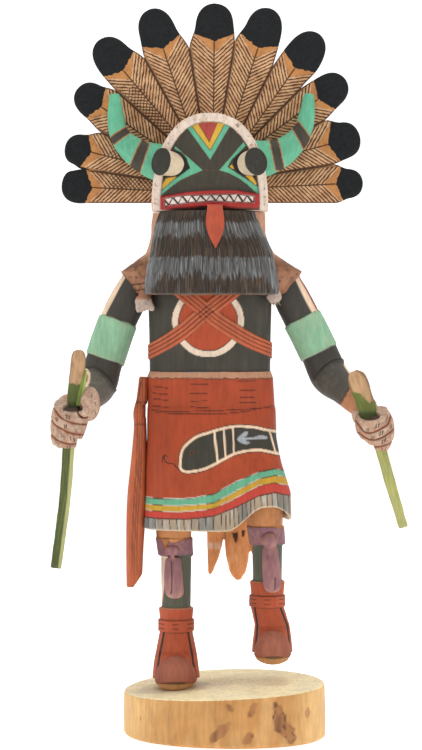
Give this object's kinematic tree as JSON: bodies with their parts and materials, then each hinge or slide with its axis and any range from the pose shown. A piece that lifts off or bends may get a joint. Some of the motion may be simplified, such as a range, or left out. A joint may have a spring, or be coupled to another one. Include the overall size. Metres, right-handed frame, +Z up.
{
  "type": "kachina doll",
  "caption": "Carved and painted wooden kachina doll with a feather crown, horned mask, beard, kilt and yucca whips, dancing on one foot on a root slice.",
  "frame": {"origin": "middle of the base's flat underside", "axes": "+Z up along the doll's height, the doll faces -Y, and its right side is at -X"},
  "size_m": [0.1758, 0.1047, 0.3663],
  "materials": {
    "root_wood": "sawn and sanded, bare, warm tan with a paler top",
    "painted_wood": "matte acrylic paint over carved wood, rust, charcoal and bands of colour",
    "mask_paint": "matte paint, cream rim with charcoal, turquoise, red and yellow",
    "feather_wood": "stained tan with burnt line work and matte charcoal tips",
    "turquoise_paint": "satin turquoise paint with charcoal bands",
    "beard_paint": "finely grooved, charcoal with grey bands",
    "tongue_paint": "matte red-orange paint",
    "skin_cape_paint": "mottled brown stain with dark spots",
    "whip_paint": "green paint fading to bare tan wood",
    "sash_paint": "matte rust paint with dark grooves",
    "pelt_stain": "orange-tan stain with fine fur strokes"
  },
  "bodies": {
    "root": {"base": "root_wood", "figure": "painted_wood", "arm_right": "painted_wood", "arm_left": "painted_wood", "mask": "mask_paint", "crown": "feather_wood", "horn_right": "turquoise_paint", "horn_left": "turquoise_paint", "eye_right": "mask_paint", "eye_left": "mask_paint", "beard": "beard_paint", "tongue": "tongue_paint", "cape": "skin_cape_paint", "whip_right": "whip_paint", "whip_left": "whip_paint", "sash": "sash_paint", "fox_pelt": "pelt_stain"}
  },
  "joints": []
}
